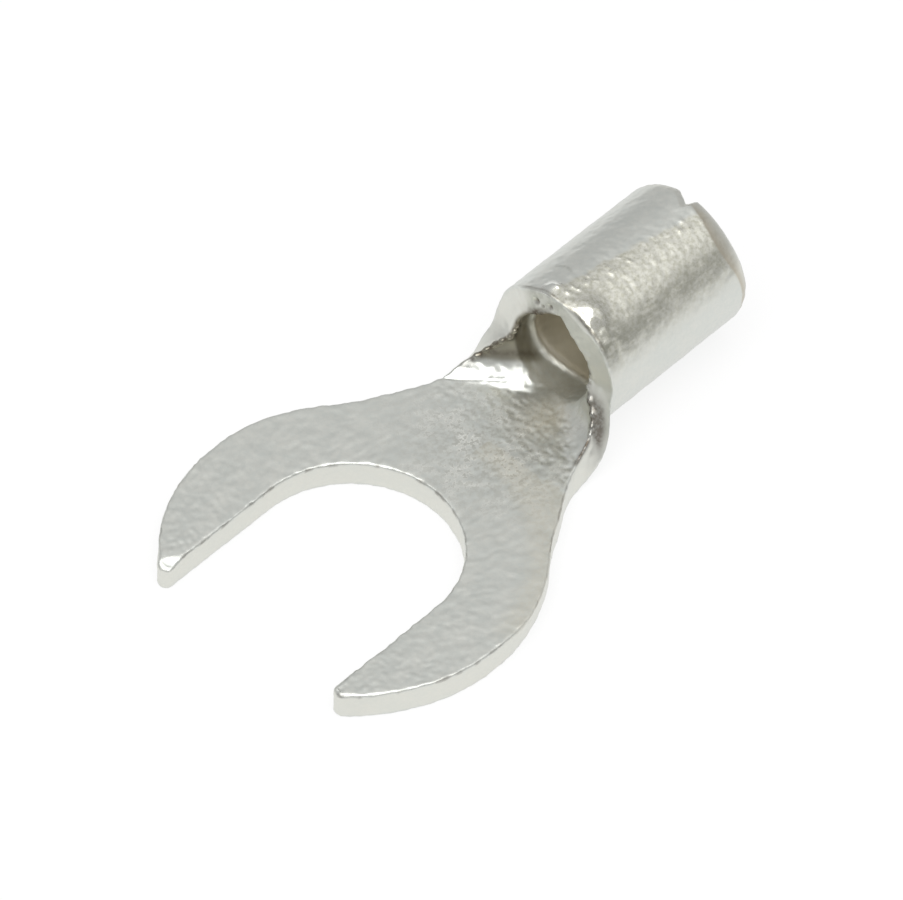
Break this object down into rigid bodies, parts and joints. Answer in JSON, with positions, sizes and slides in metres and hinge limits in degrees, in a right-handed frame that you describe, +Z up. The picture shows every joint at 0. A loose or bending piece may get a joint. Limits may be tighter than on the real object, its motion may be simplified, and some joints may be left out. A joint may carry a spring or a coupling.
{
  "type": "fork terminal",
  "caption": "Bare crimp terminal with an open fork for a screw stud, a rolled neck and a closed barrel for stripped wire.",
  "frame": {"origin": "middle of the fork seat, on the underside of the flat tongue", "axes": "+X along the barrel towards the wire end, +Z up through the tongue, away from its underside, Y across the prongs"},
  "size_m": [0.0162, 0.0096, 0.0041],
  "materials": {
    "tin_plate": "tin-plated copper, satin and slightly mottled"
  },
  "bodies": {
    "root": {"fork_terminal": "tin_plate"}
  },
  "joints": []
}
